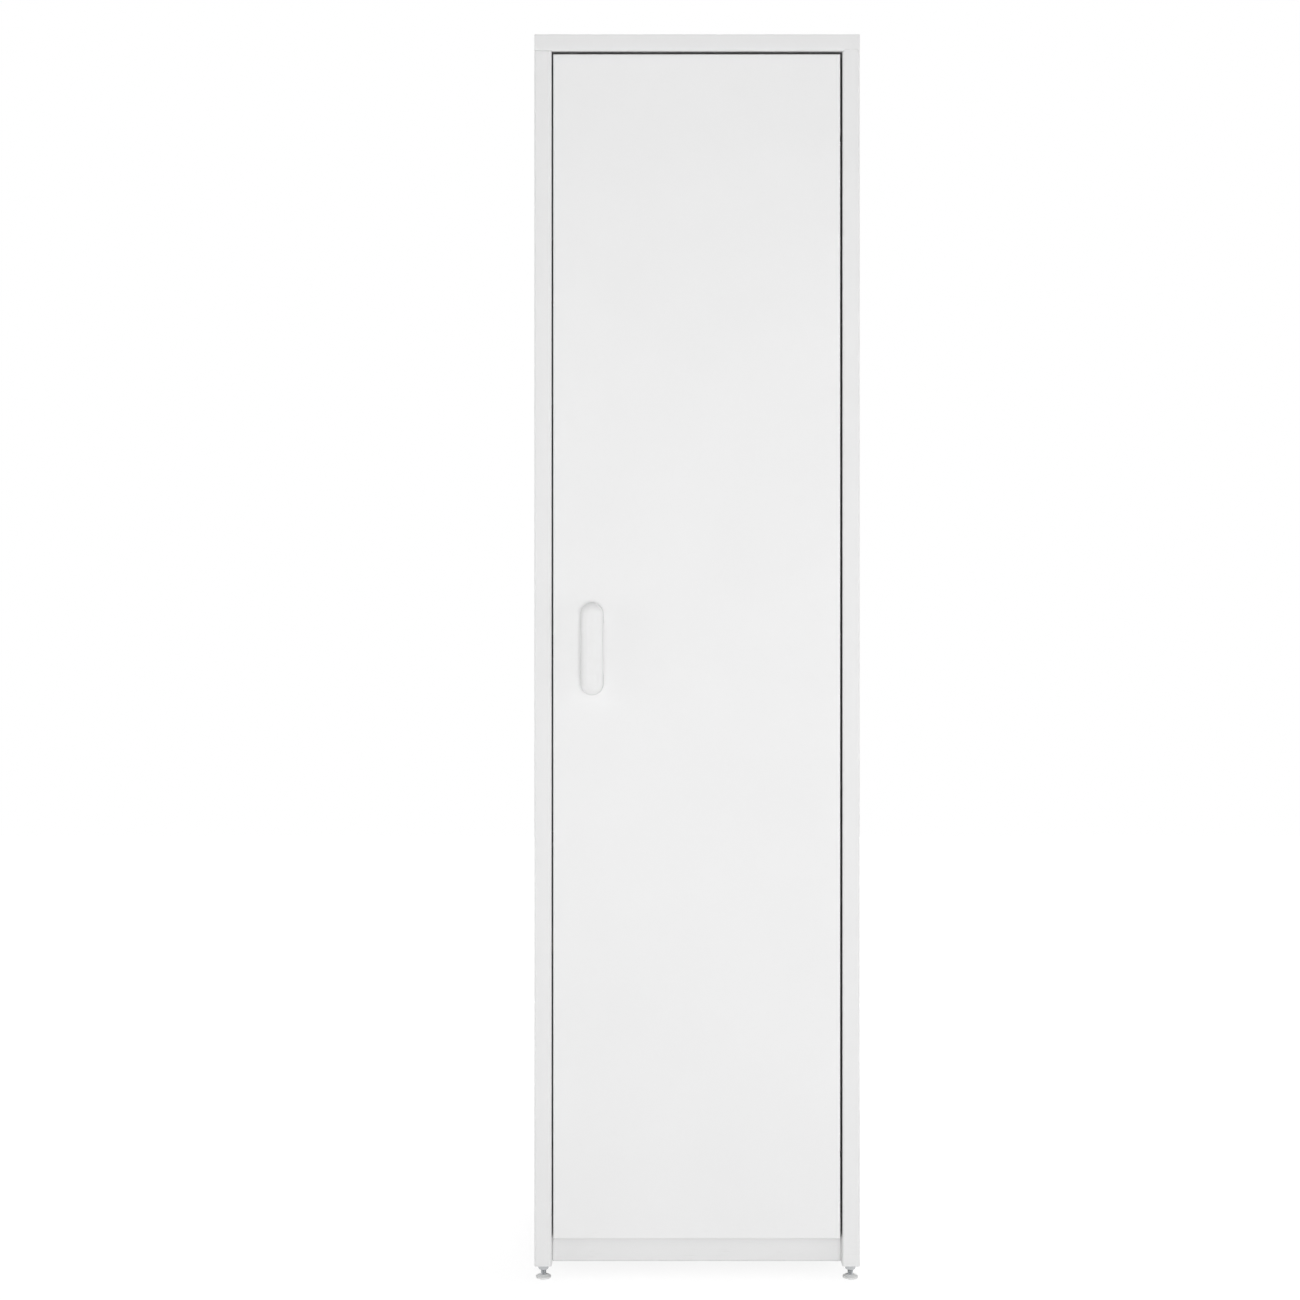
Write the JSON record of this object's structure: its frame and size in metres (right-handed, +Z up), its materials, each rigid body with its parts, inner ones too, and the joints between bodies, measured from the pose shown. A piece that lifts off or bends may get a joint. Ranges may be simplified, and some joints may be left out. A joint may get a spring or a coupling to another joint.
{
  "type": "steel cupboard",
  "caption": "Tall narrow white steel cupboard on levelling feet: tube frame, a hinged full-height door with a bow handle, and lift-out shelves inside.",
  "frame": {"origin": "middle of the footprint on the floor, under the bounding box, whose depth includes the handle", "axes": "+Z up, front with the door and handle towards -Y, +X to the right as seen from the front"},
  "size_m": [0.47, 0.4274, 1.8],
  "materials": {
    "white_coat": "white powder coat, fine satin texture",
    "zinc_steel": "bright zinc plate",
    "chrome_plate": "polished chrome plate",
    "white_plastic": "white, smooth moulded gloss",
    "catch_plastic": "off-white, moulded satin",
    "magnet": "bare sintered magnet between pole plates",
    "rubber": "grey moulded rubber"
  },
  "bodies": {
    "frame": {"post_front_left": "white_coat", "post_front_right": "white_coat", "post_rear_left": "white_coat", "post_rear_right": "white_coat", "top_rail_front": "white_coat", "top_rail_rear": "white_coat", "top_rail_left": "white_coat", "top_rail_right": "white_coat", "plinth_front": "white_coat", "skirt_left": "white_coat", "skirt_right": "white_coat", "skirt_rear": "white_coat", "side_panel_left": "white_coat", "side_panel_right": "white_coat", "back_panel": "white_coat", "top_panel": "white_coat", "floor_panel": "white_coat", "shelf_1_support_left": "zinc_steel", "shelf_1_support_right": "zinc_steel", "shelf_2_support_left": "zinc_steel", "shelf_2_support_right": "zinc_steel", "shelf_3_support_left": "zinc_steel", "shelf_3_support_right": "zinc_steel", "shelf_4_support_left": "zinc_steel", "shelf_4_support_right": "zinc_steel", "hinge_lower_bracket": "zinc_steel", "hinge_upper_bracket": "zinc_steel", "catch_housing": "catch_plastic", "catch_magnet": "magnet", "catch_screw_lower": "zinc_steel", "catch_screw_upper": "zinc_steel", "buffer_left": "rubber", "buffer_right": "rubber", "foot_nut_front_left": "chrome_plate", "foot_nut_front_right": "chrome_plate", "foot_nut_rear_left": "chrome_plate", "foot_nut_rear_right": "chrome_plate"},
    "door": {"door_skin": "white_coat", "door_inner_panel": "white_coat", "door_stiffener": "zinc_steel", "handle": "white_plastic", "handle_screw_lower": "zinc_steel", "handle_screw_upper": "zinc_steel", "catch_strike": "zinc_steel", "hinge_lower_block": "zinc_steel", "hinge_upper_block": "zinc_steel", "hinge_lower_pin": "zinc_steel", "hinge_upper_pin": "zinc_steel"},
    "shelf_1": {"shelf_1": "white_coat"},
    "shelf_2": {"shelf_2": "white_coat"},
    "shelf_3": {"shelf_3": "white_coat"},
    "shelf_4": {"shelf_4": "white_coat"},
    "foot_front_left": {"foot_front_left": "chrome_plate"},
    "foot_front_right": {"foot_front_right": "chrome_plate"},
    "foot_rear_left": {"foot_rear_left": "chrome_plate"},
    "foot_rear_right": {"foot_rear_right": "chrome_plate"}
  },
  "joints": [
    {"name": "door_swing", "type": "hinge", "parent": "frame", "child": "door", "pos_m": [0.198, -0.17835, 0.9], "axis": [0, 0, 1], "range_deg": [0, 105]},
    {"name": "shelf_1_lift", "type": "slide", "parent": "frame", "child": "shelf_1", "axis": [0, 0, 1], "range_m": [0, 0.03]},
    {"name": "shelf_2_lift", "type": "slide", "parent": "frame", "child": "shelf_2", "axis": [0, 0, 1], "range_m": [0, 0.03]},
    {"name": "shelf_3_lift", "type": "slide", "parent": "frame", "child": "shelf_3", "axis": [0, 0, 1], "range_m": [0, 0.03]},
    {"name": "shelf_4_lift", "type": "slide", "parent": "frame", "child": "shelf_4", "axis": [0, 0, 1], "range_m": [0, 0.03]},
    {"name": "foot_front_left_level", "type": "slide", "parent": "frame", "child": "foot_front_left", "axis": [0, 0, -1], "range_m": [0, 0.01]},
    {"name": "foot_front_right_level", "type": "slide", "parent": "frame", "child": "foot_front_right", "axis": [0, 0, -1], "range_m": [0, 0.01]},
    {"name": "foot_rear_left_level", "type": "slide", "parent": "frame", "child": "foot_rear_left", "axis": [0, 0, -1], "range_m": [0, 0.01]},
    {"name": "foot_rear_right_level", "type": "slide", "parent": "frame", "child": "foot_rear_right", "axis": [0, 0, -1], "range_m": [0, 0.01]}
  ]
}
